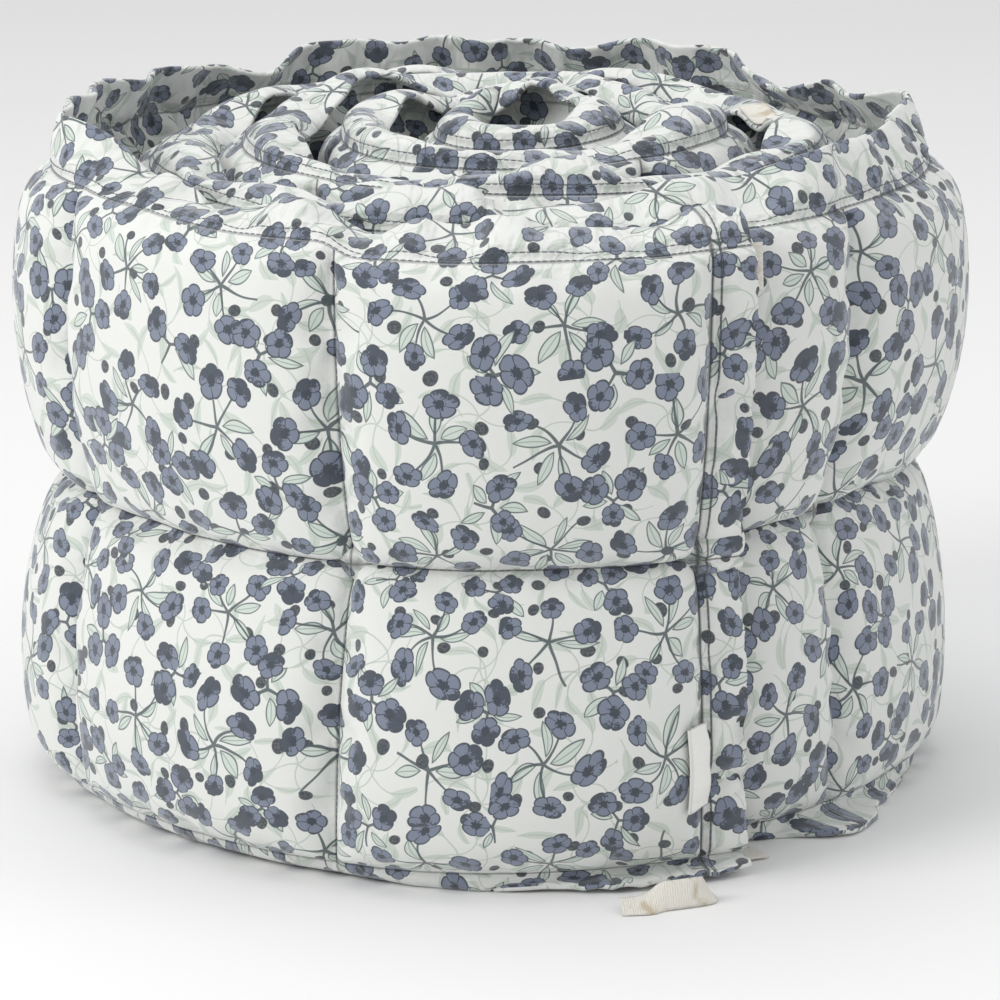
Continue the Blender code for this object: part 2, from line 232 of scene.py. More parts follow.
def columns(first, last, steps):
    """Arc length, place in its cell from -1 to 1 and flat length of each column of a stretch."""
    arc, where, flat = [], [], []
    if first == 0:
        share = np.arange(END_STEPS) / END_STEPS
        arc.append(-END_HEM * (1 - share))
        where.append(np.ones(END_STEPS))
        flat.append(-END_HEM * (1 - share))
    for cell in range(first, last):
        share = np.arange(steps) / steps
        arc.append(CELL_EDGES[cell] + CELL_LENGTHS[cell] * share)
        where.append(2 * share - 1)
        flat.append(FLAT_CELL[0] * (cell + share))
    ends = 0 if last < len(CELL_LENGTHS) else END_STEPS
    share = np.arange(ends + 1) / max(ends, 1)
    arc.append(CELL_EDGES[last] + END_HEM * share)
    where.append(np.ones(ends + 1))
    flat.append(FLAT_CELL[0] * last + END_HEM * share)
    return np.concatenate(arc), np.concatenate(where), np.concatenate(flat)


def row_flats(counts):
    """Flat height of each row of a face, from the lower hem's edge to the top hem's."""
    flat = [np.zeros(1)]
    for span, count in zip(FLAT_ROWS, counts):
        flat.append(flat[-1][-1] + span * np.arange(1, count + 1) / count)
    return np.concatenate(flat)


def across_row(count):
    """Place across a cell's height from -1 to 1, a little closer together towards its seams."""
    even = np.linspace(-1, 1, count + 1)
    return ROW_SPACING[0] * even + ROW_SPACING[1] * np.sin(even * math.pi / 2)


def floor_hem(arc, where, count, side):
    """The lower hem: a bend from the seam down to its edge, which lies out or in on the floor.
    Each face lies half the cloth's thickness to its side of that bend."""
    degrees = 360 * turns_at(arc)
    reach = read_table(FLOOR_HEM_REACH, 1, degrees) + drift(arc, *FLOOR_HEM_WAVES)
    loose = np.clip(1 - np.abs(degrees - LOOSE_HEM[0]) / LOOSE_HEM[1], 0, 1)
    start, end, slack = SLACK_HEM
    loose = loose + slack * (degrees > start) * (degrees < end)
    lift = read_table(FLOOR_HEM_REACH, 2, degrees) + loose * np.abs(drift(arc, *FLOOR_HEM_LIFTS))
    level = np.abs(np.sin(math.pi / 2 * np.clip(reach / HEM_FLAT_REACH, -1, 1)))
    half = CLOTH / 2
    low = half * level + lift
    share = np.arange(count) / count
    seam = SEAM_FLOAT * (1 - where ** 2)
    top = SEAM_HEIGHTS[0]
    out = (1 - share) ** 2 * reach + 2 * share * (1 - share) * seam + share ** 2 * seam
    height = (1 - share) ** 2 * low + 2 * share * (1 - share) * low + share ** 2 * top
    way_out = -2 * (1 - share) * reach + 2 * (1 - share) * seam
    way_up = 2 * share * (top - low)
    length = np.hypot(way_out, way_up) + 1e-6
    return out + side * half * way_up / length, height - side * half * way_out / length


def cell_rows(arc, where, row, count, side):
    """One row of cells.  Each swells as 1 less the square of the place along it, to a power, times
    the same up it, and leans a little.  Crossings and the waist are drawn in."""
    low, high = SEAM_HEIGHTS[row], SEAM_HEIGHTS[row + 1]
    across = across_row(count)
    height = low + (high - low) * (across + 1) / 2
    swell = np.clip(1 - where ** 2, 0, None) ** PUFF_POWERS[0]
    swell = swell * np.clip(1 - across ** 2, 0, None) ** PUFF_POWERS[1]
    swell = swell * (1 - ROW_LEAN[row] * across)
    middle = SEAM_FLOAT * (1 - (where * across) ** 2)
    seam = 1 if row == 0 else -1  # which end of the row is the middle seam
    away = np.hypot((1 - np.abs(where)) * FLAT_CELL[0], (1 - seam * across) * FLAT_CELL[1]) / 2
    middle = middle - side * TUFT[0] * np.exp(-(away / TUFT[1]) ** 2)
    degrees = 360 * turns_at(arc)
    from_middle = np.abs(height - SEAM_HEIGHTS[1]) / (high - low)
    middle = middle - read_table(WAIST, 1, degrees) * (1 - from_middle) ** WAIST_POWER
    puff = PUFF_OUT if side > 0 else PUFF_IN
    if side > 0 and row == 0:
        puff = puff * (1 - read_table(WAIST, 2, degrees))
    return middle + side * (CLOTH / 2 + puff * swell), np.broadcast_to(height, swell.shape)


def top_hem(arc, where, count, side):
    """The top hem: short steps of a line whose lean grows from the seam to the free edge."""
    turns = turns_at(arc)
    lean = top_lean(turns, arc, (np.arange(count) + 0.5) / count)
    out = SEAM_FLOAT * (1 - where ** 2) - TOP_HEM / count * np.cumsum(np.sin(lean), axis=1)
    height = SEAM_HEIGHTS[2] + TOP_HEM / count * np.cumsum(np.cos(lean), axis=1)
    half = (CLOTH + (HEM_THICK - CLOTH) * (np.arange(count) + 1) / count) / 2
    return out + side * half * np.cos(lean), height + side * half * np.sin(lean)


def face(arc, where, counts, side):
    """One face of a stretch of the pad as a grid: columns along the pad, rows up it.  The seams
    wander, rise and slant by their tables.  Small folds run away from each seam, and fade as a
    power of e with the distance from it."""
    arc, where = arc[:, None], where[:, None]
    parts = [floor_hem(arc, where, counts[0], side)]
    parts.append(cell_rows(arc, where, 0, counts[1], side))
    parts.append([part[:, 1:] for part in cell_rows(arc, where, 1, counts[2], side)])
    parts.append(top_hem(arc, where, counts[3], side))
    out = np.concatenate([part[0] for part in parts], axis=1)
    height = np.concatenate([part[1] for part in parts], axis=1)
    rise = (height - SEAM_HEIGHTS[1]) / (SEAM_HEIGHTS[2] - SEAM_HEIGHTS[1])
    turn_one = read_table(TOP_SEAM_RISE, 1, arc)
    wander = sum(drift(arc + WANDER_FROM, *waves) for waves in SEAM_WANDER)
    level = np.clip(height / SEAM_HEIGHTS[1], 0, 1)
    bow = 1 - np.clip(np.abs(rise), 0, 1)
    wave = wander * level * (WANDER_SHARE[0] + WANDER_SHARE[1] * bow)
    height = height + turn_one * np.clip(rise, 0, 1) + wave
    slants = [read_table(CROSS_SLANT, column, cell_at(arc)) for column in (3, 2, 1)]
    low, high = np.clip(1 + rise, 0, 1), np.clip(rise, 0, 1)
    slant = slants[0] * (1 - low) + slants[1] * low * (1 - high) + slants[2] * high
    seams = np.array(SEAM_HEIGHTS)
    from_row = np.min(np.abs((height - wander)[..., None] - seams), axis=2)
    from_cross = (1 - np.abs(where)) * FLAT_CELL[0] / 2
    within = (height < SEAM_HEIGHTS[2]) * (arc > 0)
    for away, beside, other, waves in zip(
            (from_row, from_cross), (arc, height), (from_cross, from_row), PUCKER_WAVES):
        folds = sum(drift(beside + FACES_APART * side, *wave) for wave in waves)
        near, aside = 1 - np.exp(-away / PUCKER_FADE[0]), 1 - np.exp(-other / PUCKER_FADE[1])
        out = out + PUCKER[0] * folds * (np.exp(-away / PUCKER[1]) * near * aside) * within
    past = np.clip(-arc, 0, None)
    out = out + END_RIDGE[0] * np.exp(-((past - END_RIDGE[1]) / END_RIDGE[2]) ** 2) * (past > 0)
    out = out + drift(height, *END_HEM_WAVES) * (past / END_HEM) ** 2
    return place(arc + slant, out, height)


def grid_normals(sheet, closed=False):
    """Unit normals of a grid: its way up crossed with its way along, each over two steps."""
    along = np.gradient(sheet, axis=0)
    if closed:
        up = np.roll(sheet, -1, axis=1) - np.roll(sheet, 1, axis=1)
    else:
        up = np.gradient(sheet, axis=1)
    normal = np.cross(up, along)
    return normal / (np.linalg.norm(normal, axis=2, keepdims=True) + 1e-12)


def pull(sheet, start, end, rest, strength):
    """Draws the two ends of every edge of one family towards its flat length."""
    edge = sheet[end] - sheet[start]
    length = np.sqrt(np.einsum("ijk,ijk->ij", edge, edge)) + 1e-9
    move = edge * (0.5 * strength * (1 - rest / length))[..., None]
    sheet[start] += move
    sheet[end] -= move


def spread_bends(sheet, stiff, loose):
    """Takes a share of the fourth difference off each point, so that sharp bends spread.  A seam
    is a hinge: the bend across it counts for nothing."""
    for axis in (0, 1):
        view = np.moveaxis(sheet, axis, 0)
        share = np.moveaxis(stiff, axis, 0)[2:-2, :, None]
        second = (view[2:] - 2 * view[1:-1] + view[:-2]) * np.moveaxis(loose, axis, 0)[1:-1, :, None]
        view[2:-2] -= share * (second[2:] - 2 * second[1:-1] + second[:-2])


def edges_of(sheet, slack_along, slack_up):
    """The four families of edges of a grid, with the length each one is cut to: its length on the
    even shape and its slack."""
    every, head, tail = slice(None), slice(None, -1), slice(1, None)
    both = (slack_along + slack_up) / 2
    families = []
    for one, other, slack, strength in (
            ((head, every), (tail, every), slack_along, 1.0),
            ((every, head), (every, tail), slack_up, 1.0),
            ((head, head), (tail, tail), both, DIAGONAL_PULL),
            ((tail, head), (head, tail), both, DIAGONAL_PULL)):
        length = np.linalg.norm(sheet[other] - sheet[one], axis=2)
        families.append((one, other, length * (1 + (slack[one] + slack[other]) / 2), strength))
    return families


def ease(sheet, start, held, fields, rounds):
    """Cloth on a grid: each round pushes it along its normals, draws edges and diagonals towards
    the lengths they are cut to, spreads bends, and keeps each point within its room of its start."""
    slack_along, slack_up, room, swell, stiff = fields
    families = edges_of(start, slack_along, slack_up)
    loose = ~held
    last = sheet.copy()
    for step in range(rounds):
        if step % NORMALS_EVERY == 0:
            normal = grid_normals(sheet)
        ahead = sheet + CARRY * (sheet - last) + swell[..., None] * normal
        last = sheet
        sheet = ahead
        for one, other, rest, strength in families:
            pull(sheet, one, other, rest, strength)
        spread_bends(sheet, stiff, loose)
        move = sheet - start
        distance = np.sqrt(np.einsum("ijk,ijk->ij", move, move)) + 1e-9
        sheet = start + move * np.minimum(1, room / distance)[..., None]
        sheet[held] = start[held]
    return sheet


def finer(field):
    """A field on every other point, filled in halfway between them."""
    for axis in (0, 1):
        view = np.moveaxis(field, axis, 0)
        filled = np.empty((2 * len(view) - 1, *view.shape[1:]))
        filled[::2] = view
        filled[1::2] = (view[1:] + view[:-1]) / 2
        field = np.moveaxis(filled, 0, axis)
    return field


def soft_noise(shape, wave, seed):
    """Random values that change smoothly over a few grid steps."""
    small = np.random.default_rng(seed).uniform(-1, 1, (shape[0] // wave + 3, shape[1] // wave + 3))
    for axis, size in enumerate(shape):
        at = np.arange(size) / wave
        low = np.floor(at).astype(int)
        share = eased(at - low).reshape([-1, 1] if axis == 0 else [1, -1])
        small = np.take(small, low, axis) * (1 - share) + np.take(small, low + 1, axis) * share
    return small


def ease_twice(start, held, fields, rounds, seed):
    """Eases every other point first, for the long folds, and then all of them."""
    half = [field[::2, ::2] for field in fields]
    coarse = start[::2, ::2]
    free = ~held[::2, ::2]
    shake = half[2] * SHAKE * soft_noise(coarse.shape[:2], SHAKE_WAVE, seed) * free
    moved = ease(coarse + shake[..., None] * grid_normals(coarse), coarse, held[::2, ::2], half, rounds[0])
    return ease(start + finer(moved - coarse), start, held, fields, rounds[1])


PUCKER = (0.0015, 0.015)  # size of the small folds that run away from a seam, and how far they reach
PUCKER_WAVES = (  # along the long seams and along the seams across: length, size and seed
    ((0.0085, 0.5, 44), (0.017, 0.6, 45)), ((0.0085, 0.5, 46), (0.017, 0.6, 47)),
)
PUCKER_FADE = (0.003, 0.006)  # distance from their own seam and from another within which they fade
FACES_APART = 0.2  # by which the two faces read the waves apart
CELL_ROOM = 0.0046  # how far the cloth of a cell may move from its even shape
HEM_ROOM = 0.0048
SEAM_SLACK = 0.105  # how much longer the cloth is than the seam that gathers it
SLACK_REACH = 0.017  # how far from the seam that fades
CELL_SLACK = 0.006
HEM_SLACK = 0.055
SWELL = 0.000006  # push of the filling, each round
SHAKE = 0.22  # share of its room by which a point is moved at first
SHAKE_WAVE = 3  # in steps of the grid
CARRY = 0.8  # share of its last move that a point makes again
NORMALS_EVERY = 4  # rounds
DIAGONAL_PULL = 0.35
CELL_STIFF = 0.030
HEM_STIFF = 0.035
ROUNDS = (260, 140)
FLOOR_CLEAR = (0.0002, 0.0001)  # height of the outer and of the inner face over the floor, at least
HEM_EDGES = ((-1, -3, 0.0007), (0, 2, 0.0006))  # edge row, a row before it, how far its round edge goes
EDGE_SHARE = 0.45  # share of a hem's thickness that its round edge keeps


def seam_rows(counts):
    """Row numbers of the bottom, middle and top seams."""
    bottom = counts[0]
    return bottom, bottom + counts[1], bottom + counts[1] + counts[2]


def sewn(first, last, steps, counts, flat_along):
    """Marks the points that stitching holds: the three long seams, and the seams across between
    the bottom and top ones.  The stretch's own ends and the lower hem are held as well."""
    bottom, middle, top = seam_rows(counts)
    held = np.zeros((len(flat_along), sum(counts) + 1), dtype=bool)
    held[:, [bottom, middle, top]] = True
    held[:, :bottom] = True
    offset = END_STEPS if first == 0 else 0
    for cell in range(last - first + 1):
        held[offset + cell * steps, bottom:top] = True
    if first > 0:
        held[0] = True
    if last < len(CELL_LENGTHS):
        held[-1] = True
    return held


def cloth_fields(where, flat_up, counts):
    """Slack along and up, room, push and stiffness of every point: most slack beside a seam, and
    along it, where the seam gathers the cloth."""
    bottom, middle, top = seam_rows(counts)
    seams = flat_up[[bottom, middle, top]]
    from_row = np.min(np.abs(flat_up[:, None] - seams), axis=1)[None, :]
    from_cross = ((1 - np.abs(where)) * FLAT_CELL[0] / 2)[:, None]
    shape = (len(where), len(flat_up))
    along = CELL_SLACK + SEAM_SLACK * np.exp(-(from_row / SLACK_REACH) ** 2) * np.ones(shape)
    up = CELL_SLACK + SEAM_SLACK * np.exp(-(from_cross / SLACK_REACH) ** 2) * np.ones(shape)
    hem = np.broadcast_to(np.arange(len(flat_up)) > top, shape)
    along[hem], up[hem] = HEM_SLACK, 0.0
    room = np.where(hem, HEM_ROOM, CELL_ROOM)
    return along, up, room, np.where(hem, 0, SWELL), np.where(hem, HEM_STIFF, CELL_STIFF)


def stretch(first, last, steps, counts, seed):
    """Both faces of a stretch of cells, eased, with the flat places of its columns and rows."""
    arc, where, flat_along = columns(first, last, steps)
    flat_up = row_flats(counts)
    outer = face(arc, where, counts, 1)
    inner = face(arc, where, counts, -1)
    top = seam_rows(counts)[2]
    held = sewn(first, last, steps, counts, flat_along)
    fields = cloth_fields(where, flat_up, counts)
    outer = ease_twice(outer, held, fields, ROUNDS, seed)
    cells = (slice(None), slice(None, top + 1))
    fields = [field[cells] for field in fields]
    inner[cells] = ease_twice(inner[cells], held[cells], fields, ROUNDS, seed + 1)
    normal = grid_normals(outer)
    thick = CLOTH + (HEM_THICK - CLOTH) * (np.arange(counts[3]) + 1) / counts[3]
    inner[:, top + 1:] = outer[:, top + 1:] - normal[:, top + 1:] * thick[:, None]
    for sheet, clear in zip((outer, inner), FLOOR_CLEAR):
        sheet[..., 2] = np.maximum(sheet[..., 2], clear)
    return {"outer": outer, "inner": inner, "along": flat_along, "up": flat_up,
            "steps": steps, "counts": counts, "first": first}


def ring_of(sheets):
    """The closed section at every column: up the outer face and down the inner one.  Past each
    hem's edge both faces get one more row, drawn together, so that the edge is round."""
    faces = []
    middle = (sheets["outer"] + sheets["inner"]) / 2
    for sheet in (sheets["outer"], sheets["inner"]):
        rows = [sheet]
        for edge, before, size in HEM_EDGES:
            way = middle[:, edge] - middle[:, before]
            way *= size / np.linalg.norm(way, axis=1, keepdims=True)
            beyond = middle[:, edge] + EDGE_SHARE * (sheet[:, edge] - middle[:, edge]) + way
            beyond[:, 2] = np.maximum(beyond[:, 2], 0.0)
            rows.insert(0 if edge == 0 else 2, beyond[:, None])
        faces.append(np.concatenate(rows, axis=1))
    return np.concatenate([faces[0], faces[1][:, ::-1]], axis=1)


def loft(name, ring, along, around, normals=None):
    """A closed piece through sections of points, each running up one face and down the other,
    with a ladder of faces across both ends.  Its UV map holds flat metres, along and around."""
    count, size, _ = ring.shape
    one, two = np.meshgrid(np.arange(count - 1), np.arange(size), indexing="ij")
    after = (two + 1) % size
    quads = np.stack([one * size + two, one * size + after,
                      (one + 1) * size + after, (one + 1) * size + two], axis=-1).reshape(-1, 4)
    rung = np.arange(size // 2 - 1)
    cap = np.stack([rung, size - 1 - rung, size - 2 - rung, rung + 1], axis=-1)
    faces = np.concatenate([quads, cap, cap[:, ::-1] + (count - 1) * size])
    mesh = bpy.data.meshes.new(name)
    mesh.from_pydata(ring.reshape(-1, 3).tolist(), [], faces.tolist())
    turned = np.append(around, around[-1] + around[1] - around[0])
    flat = np.stack([along[faces // size], around[faces % size]], axis=-1)
    wall = np.stack([two, two + 1, two + 1, two], axis=-1).reshape(-1, 4)
    flat[:len(quads), :, 1] = turned[wall]
    uv = mesh.uv_layers.new(name="cloth")
    uv.data.foreach_set("uv", flat.astype(np.float32).ravel())
    mesh.shade_smooth()
    if normals is not None:
        mesh.normals_split_custom_set_from_vertices(normals.reshape(-1, 3).tolist())
    return link(name, mesh)


def link(name, mesh):
    """A new object of the scene, at the origin."""
    piece = bpy.data.objects.new(name, mesh)
    bpy.context.scene.collection.objects.link(piece)
    return piece


def round_places(up):
    """Flat place around the section for every row of a ring of the pad."""
    height = up[-1]
    rise = np.concatenate([[-EDGE_FLAT], up, [height + EDGE_FLAT]])
    return np.concatenate([rise, 2 * height + FACE_GAP - rise[::-1]])


def quilted_pad():
    """The pad's pieces, cut apart at seams, and the eased sheets that they were made from."""
    whole = [stretch(0, OUTER_CELLS, *OUTER_GRID), stretch(OUTER_CELLS, len(CELL_LENGTHS), *INNER_GRID)]
    pieces = []
    for name, _, first, last in PAD_PIECES:
        sheets = whole[0 if first < OUTER_CELLS else 1]
        ring = ring_of(sheets)
        normals = grid_normals(ring, closed=True)
        steps = sheets["steps"]
        offset = END_STEPS if sheets["first"] == 0 else 0
        low = 0 if first == sheets["first"] else offset + (first - sheets["first"]) * steps
        at_end = last in (OUTER_CELLS, len(CELL_LENGTHS))
        high = len(ring) if at_end else offset + (last - sheets["first"]) * steps + 1
        piece = loft(name, ring[low:high], sheets["along"][low:high],
                     round_places(sheets["up"]), normals[low:high])
        pieces.append(piece)
    return pieces, whole


# ---------------------------------------------------------------- what is sewn to the pad

TAPE_WIDTH = 0.012
TAPE = 0.0010
TAPE_STEPS = 14
TAPE_ROWS = 9
TAPE_EDGE = (0.75, 8)  # share that its edges lose of a tape's thickness squared, and how sharply
TAPE_RIB = 1.05  # mm from one rib to the next
TIE_ROUTES = {  # x and y in the winding's own axes, height, heading and lean of the width in degrees
    "tie_bottom_front": (
        (0.0575, -0.1895, 0.0007, 40, 0),
        (0.0645, -0.1985, 0.0007, 40, 0),
        (0.0725, -0.2085, 0.0016, 36, -8),
        (0.0777, -0.2170, 0.0052, -20, -55),
        (0.0735, -0.2228, 0.0063, -62, -74),
        (0.0665, -0.2262, 0.0062, -70, -72),
        (0.0598, -0.2284, 0.0055, -75, -60),
        (0.0552, -0.2304, 0.0036, -80, -32),
        (0.0500, -0.2316, 0.0027, -82, -20),
        (0.0432, -0.2324, 0.0024, -84, -18),
    ),
    "tie_bottom_back": (
        (0.0341, -0.1925, 0.0066, 112, 84),
        (0.0590, -0.1815, 0.0064, 115, 72),
        (0.0757, -0.1699, 0.0040, 127, 30),
        (0.0876, -0.1607, 0.0021, 130, 8),
        (0.0975, -0.1540, 0.0016, 126, 6),
    ),
    "tie_top_outer": (
        (0.0897, -0.1667, 0.2650, 28, 0),
        (0.0900, -0.1660, 0.2560, 29, 4),
        (0.0906, -0.1650, 0.2440, 32, 8),
    ),
}
INNER_TIE_TURNS = (1.745, 1.795)
INNER_TIE_ROWS = (6.0, 3.2, 0.5)  # its lower edge, middle and upper edge, in rows below the hem's edge
LABEL_REACH = 0.0120
LABEL_HEIGHTS = (0.034, 0.070)
LABEL = 0.0010  # both layers and the gap between them
LABEL_LAYER = 0.00035
LABEL_START = 0.0008
LABEL_BRIDGE = 0.0030  # how far its root stands off the groove of the seam
LABEL_SPRING = 2.5  # how far its fold stands off the cloth, as a share of its thickness
LABEL_STEPS = (9, 7, 30)  # along a layer, round the fold, up the label
LABEL_RIB = 0.45  # mm


def smooth_route(rows):
    """Points on a Catmull-Rom curve through a table's rows."""
    table = np.array(rows, dtype=float)
    padded = np.vstack([2 * table[0] - table[1], table, 2 * table[-1] - table[-2]])
    share = np.arange(TAPE_STEPS)[:, None] / TAPE_STEPS
    points = []
    for span in range(len(table) - 1):
        before, start, end, after = padded[span:span + 4]
        points.append(0.5 * (2 * start + (end - before) * share
                             + (2 * before - 5 * start + 4 * end - after) * share ** 2
                             + (3 * start - before - 3 * end + after) * share ** 3))
    points.append(table[-1:])
    return np.vstack(points)


def tape_mesh(name, middle, width):
    """A flat tape: a rounded thin section carried along its middle line.  UV: along and across."""
    ahead = np.gradient(middle, axis=0)
    width = unit(width)
    facing = unit(np.cross(ahead, width))
    across = np.linspace(-1, 1, TAPE_ROWS)
    side = np.concatenate([across, across[::-1]])
    through = np.repeat([-1.0, 1.0], TAPE_ROWS)
    through *= np.sqrt(1 - TAPE_EDGE[0] * np.abs(side) ** TAPE_EDGE[1])
    half = TAPE_WIDTH / 2
    ring = (middle[:, None] + width[:, None] * (side * half)[None, :, None]
            + facing[:, None] * (through * TAPE / 2)[None, :, None])
    along = lengths_to(middle)
    return loft(name, ring, along, side * half), float(along[-1])


def loose_tie(name, rows):
    """A tie along its own route."""
    x, y, z, heading, lean = smooth_route(rows).T
    x, y = settle(x, y)
    heading, lean = np.radians(heading), np.radians(lean)
    width = np.stack([np.cos(heading) * np.cos(lean), np.sin(heading) * np.cos(lean), np.sin(lean)], axis=1)
    return tape_mesh(name, np.stack([x, y, z], axis=1), width)


SHORT_OF = 0.001  # how far a place read from a grid stays short of its last column and row


def sample(sheet, column, row):
    """Points of a grid at fractional columns and rows, straight between its own.  Either may be
    one number."""
    column = np.clip(column, 0, sheet.shape[0] - 1 - SHORT_OF)
    row = np.clip(row, 0, sheet.shape[1] - 1 - SHORT_OF)
    i, j = np.floor(column).astype(int), np.floor(row).astype(int)
    p, q = (column - i)[..., None], (row - j)[..., None]
    return ((sheet[i, j] * (1 - p) + sheet[i + 1, j] * p) * (1 - q)
            + (sheet[i, j + 1] * (1 - p) + sheet[i + 1, j + 1] * p) * q)


def tie_on_the_roll(inner_turns):
    """The inner end's tie: its free end lies on the upper half of the top hem."""
    turns = np.linspace(*INNER_TIE_TURNS, 2 * TAPE_STEPS)
    radius = OUTER_RADIUS - TURN_PITCH * turns
    arc = (OUTER_RADIUS ** 2 - radius ** 2) * math.pi / TURN_PITCH
    column = (cell_at(arc) - inner_turns["first"]) * inner_turns["steps"]
    sheet = inner_turns["outer"]
    rows = [sheet.shape[1] - 1 - below for below in INNER_TIE_ROWS]
    low, middle, high = (sample(sheet, column, row) for row in rows)
    middle = middle + (TAPE / 2 + 2 * GAP) * sample(grid_normals(sheet), column, rows[1])
    return tape_mesh("tie_top_inner", middle, high - low)


def side_label(outer_turn):
    """The label: a strip folded in two.  Its section goes out from the seam, round its fold and
    back, with a thin gap between the layers, and is carried up along the swell of the cell."""
    sheet, counts = outer_turn["outer"], outer_turn["counts"]
    normal = grid_normals(sheet)
    layer, fold, tall = LABEL_STEPS
    nose = np.linspace(-math.pi / 2, math.pi / 2, fold)
    reach = np.linspace(LABEL_START, LABEL_REACH - LABEL / 2, layer)
    paths = []
    for radius in (LABEL / 2, LABEL / 2 - LABEL_LAYER):
        out = np.concatenate([reach, reach[-1] + radius * np.cos(nose), reach[::-1]])
        lift = np.concatenate([np.full(layer, -radius), radius * np.sin(nose), np.full(layer, radius)])
        paths.append(np.stack([out, lift]))
    out, lift = np.concatenate([paths[0], paths[1][:, ::-1]], axis=1)
    spring = 1 + LABEL_SPRING * (out / LABEL_REACH) ** 2
    low, high = SEAM_HEIGHTS[:2]
    ends = 2 * (np.array(LABEL_HEIGHTS) - low) / (high - low) - 1
    row = np.interp(np.linspace(*ends, tall), across_row(counts[1]), np.arange(counts[1] + 1)) + counts[0]
    column = END_STEPS + out / CELL_LENGTHS[0] * outer_turn["steps"]
    row, column = np.meshgrid(row, column, indexing="ij")
    skin = sample(sheet, column, row)
    facing = sample(normal, column, row)
    bridge = LABEL_BRIDGE * np.clip(1 - out / LABEL_REACH, 0, 1)
    ring = skin + facing * (LABEL / 2 * spring + 2 * GAP + lift + bridge)[None, :, None]
    ring = ring[:, ::-1]
    around = np.linspace(0, 2 * LABEL_REACH, ring.shape[1])
    return loft("side_label", ring, lengths_to(ring[:, 0]), around)


# ---------------------------------------------------------------- stitches

STITCH = (0.0024, 0.00040, 0.00030)  # length, width and height of a stitch
STITCH_PITCH = 0.0030
STITCH_LIFT = 0.00012  # off the cloth
STITCH_AHEAD = 0.001  # how far either way along the seam a stitch looks for its direction
BEAD = ((-0.36, 0.8), (0.0, 1.0), (0.36, 0.8))  # its sections: place along it and size, as shares
BEAD_SIDES = 6
SECOND_ROW = 0.0036  # between the two rows of topstitching on a hem
END_SECOND_ROW = 0.0036
TOP_ROW = 0.25  # grid rows above the top seam at which its stitches lie
END_LINE_STEPS = 400


def beads(centres, ahead, normal):
    """Stitches: the same small closed bead at every place, turned along its seam."""
    sides, rings = BEAD_SIDES, len(BEAD)
    angle = np.arange(sides) * 2 * math.pi / sides
    body = [[x * STITCH[0], r * STITCH[1] / 2 * math.cos(a), r * STITCH[2] * math.sin(a)]
            for x, r in BEAD for a in angle]
    template = np.array(body + [[-STITCH[0] / 2, 0, -STITCH[2] / 2], [STITCH[0] / 2, 0, -STITCH[2] / 2]])
    faces = []
    for ring in range(rings - 1):
        for side in range(sides):
            a, b = ring * sides + side, ring * sides + (side + 1) % sides
            faces.append((a, b, b + sides, a + sides))
    for side in range(sides):
        beyond = (side + 1) % sides
        faces.append((beyond, side, rings * sides))
        faces.append(((rings - 1) * sides + side, (rings - 1) * sides + beyond, rings * sides + 1))
    ahead = unit(ahead)
    across = unit(np.cross(normal, ahead))
    axes = np.stack([ahead, across, np.cross(ahead, across)], axis=1)
    points = centres[:, None] + np.einsum("pk,nkx->npx", template, axes)
    return points.reshape(-1, 3), faces, len(template)


def seam_line(sheets, column, row):
    """Stitch places along a line of grid columns and rows: centre, way ahead and outward."""
    sheet = sheets["outer"]
    normal = grid_normals(sheet)
    line = sample(sheet, column, row)
    facing = sample(normal, column, row)
    length = lengths_to(line)
    count = max(2, int(length[-1] / STITCH_PITCH))
    at = (np.arange(count) + 0.5) * length[-1] / count
    centre, out, after, before = (
        np.stack([np.interp(at + aside, length, values[:, k]) for k in range(3)], axis=1)
        for values, aside in ((line, 0), (facing, 0), (line, STITCH_AHEAD), (line, -STITCH_AHEAD)))
    return centre + STITCH_LIFT * out, after - before, out


def stitching(name, whole):
    """All the stitches of the pad in one piece: long seams, seams across and the end seam."""
    lines = []
    for sheets in whole:
        bottom, middle, top = seam_rows(sheets["counts"])
        total = len(sheets["along"]) - 1
        along = np.linspace(0, total, 3 * total)
        hem_row = TOP_HEM / sheets["counts"][3]
        lines.append(seam_line(sheets, along, top + TOP_ROW))
        lines.append(seam_line(sheets, along, top + SECOND_ROW / hem_row))
        if sheets["first"] > 0:
            continue
        lines.append(seam_line(sheets, along, middle))
        up = np.linspace(bottom, top, 3 * (top - bottom))
        for cell in range(OUTER_CELLS + 1):
            lines.append(seam_line(sheets, END_STEPS + cell * sheets["steps"], up))
        second = END_STEPS - END_SECOND_ROW / END_HEM * END_STEPS
        whole_up = np.linspace(1, sum(sheets["counts"]) - 1, END_LINE_STEPS)
        lines.append(seam_line(sheets, second, whole_up))
    centres, ahead, normal = (np.concatenate(part) for part in zip(*lines))
    points, faces, size = beads(centres, ahead, normal)
    points[:, 2] = np.maximum(points[:, 2], FLOOR_CLEAR[1])
    offsets = np.arange(len(centres)) * size
    quads = np.array([f for f in faces if len(f) == 4])
    tris = np.array([f for f in faces if len(f) == 3])
    everywhere = (quads[None] + offsets[:, None, None]).reshape(-1, 4).tolist()
    everywhere += (tris[None] + offsets[:, None, None]).reshape(-1, 3).tolist()
    mesh = bpy.data.meshes.new(name)
    mesh.from_pydata(points.tolist(), [], everywhere)
    mesh.shade_smooth()
    return link(name, mesh)


# ---------------------------------------------------------------- finishes

MM = 1000.0  # in a metre: the finishes count in mm on the flat cloth


def operation(kind):
    """A method of Wire that adds a math node of this kind, fed by the wire and another value."""
    return lambda self, other=0.0: self.finish.math(kind, self, other)


